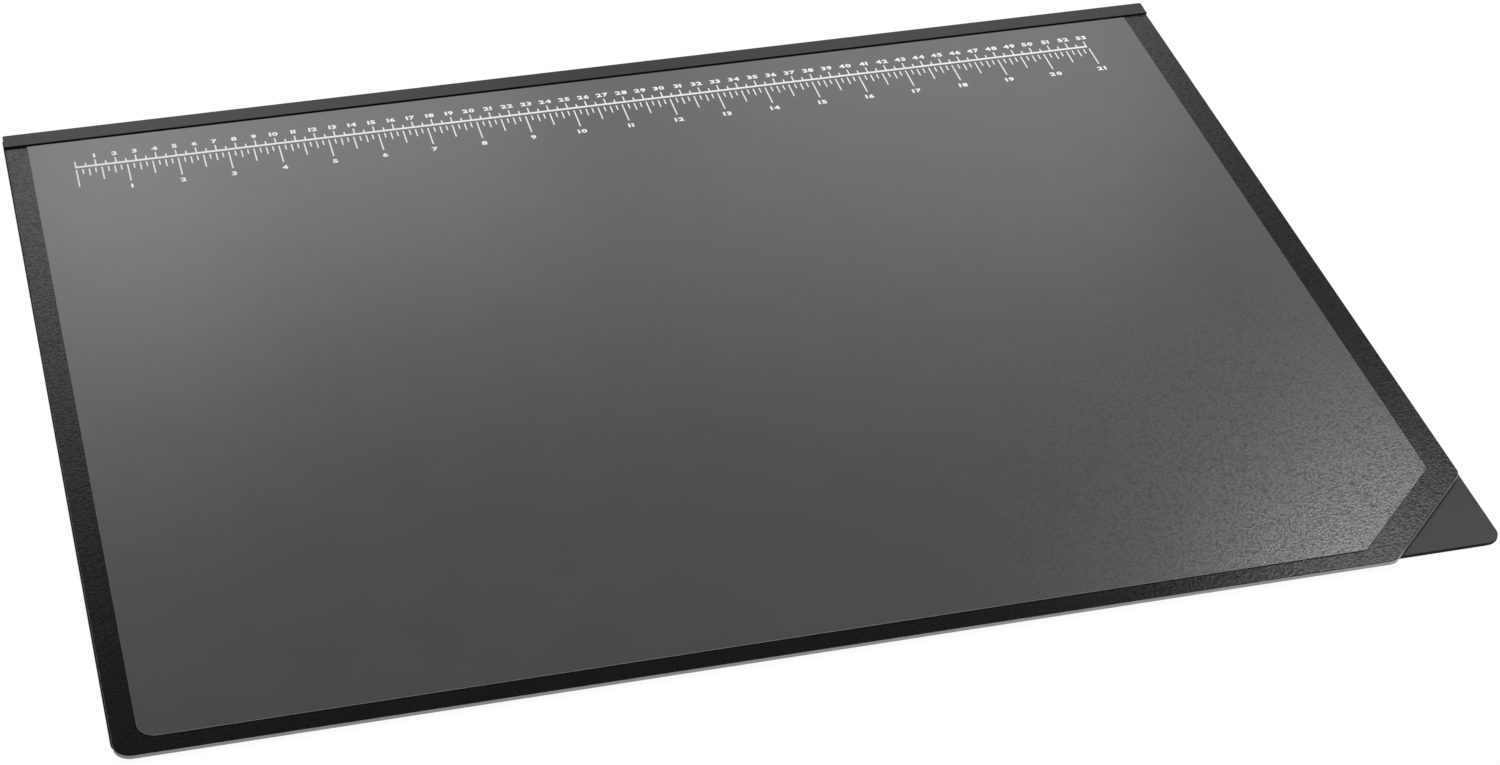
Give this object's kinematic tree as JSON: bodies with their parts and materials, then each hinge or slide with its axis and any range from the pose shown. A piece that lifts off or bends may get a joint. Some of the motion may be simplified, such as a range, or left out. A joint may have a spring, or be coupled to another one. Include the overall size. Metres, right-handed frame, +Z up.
{
  "type": "lift-top desk pad",
  "caption": "Black lift-top desk pad: a thin base with a raised back spine, a hinged pebbled lid with a cut front corner, and a frosted writing sheet with a printed ruler.",
  "frame": {"origin": "on the desk plane under the middle of the closed pad's plan", "axes": "+X to the right along the ruler, +Y to the spine along the back edge, +Z up off the desk"},
  "size_m": [0.6096, 0.4826, 0.0051],
  "materials": {
    "base_plastic": "satin",
    "backing_foam": "matte",
    "spine_vinyl": "satin",
    "pebbled_vinyl": "matte, fine pebble grain",
    "lining_paper": "matte",
    "grey_board": "matte",
    "clear_tape": "clear",
    "frosted_sheet": "frosted, translucent",
    "white_ink": "matte"
  },
  "bodies": {
    "base": {"base_board": "base_plastic", "base_backing": "backing_foam", "spine_core": "base_plastic", "hinge_strip": "pebbled_vinyl", "spine_cover": "spine_vinyl"},
    "lid": {"lid_liner": "lining_paper", "lid_board": "grey_board", "lid_skin": "pebbled_vinyl", "overlay_tape": "clear_tape", "overlay_margin": "frosted_sheet"},
    "overlay": {"overlay_sheet": "frosted_sheet", "metric_scale": "white_ink", "inch_scale": "white_ink"}
  },
  "joints": [
    {"name": "lid_hinge", "type": "hinge", "parent": "base", "child": "lid", "pos_m": [0, 0.22975, 0.00415], "axis": [-1, 0, 0], "range_deg": [0, 90]},
    {"name": "overlay_bend", "type": "hinge", "parent": "lid", "child": "overlay", "pos_m": [0, 0.22325, 0.00465], "axis": [-1, 0, 0], "range_deg": [0, 75]}
  ]
}
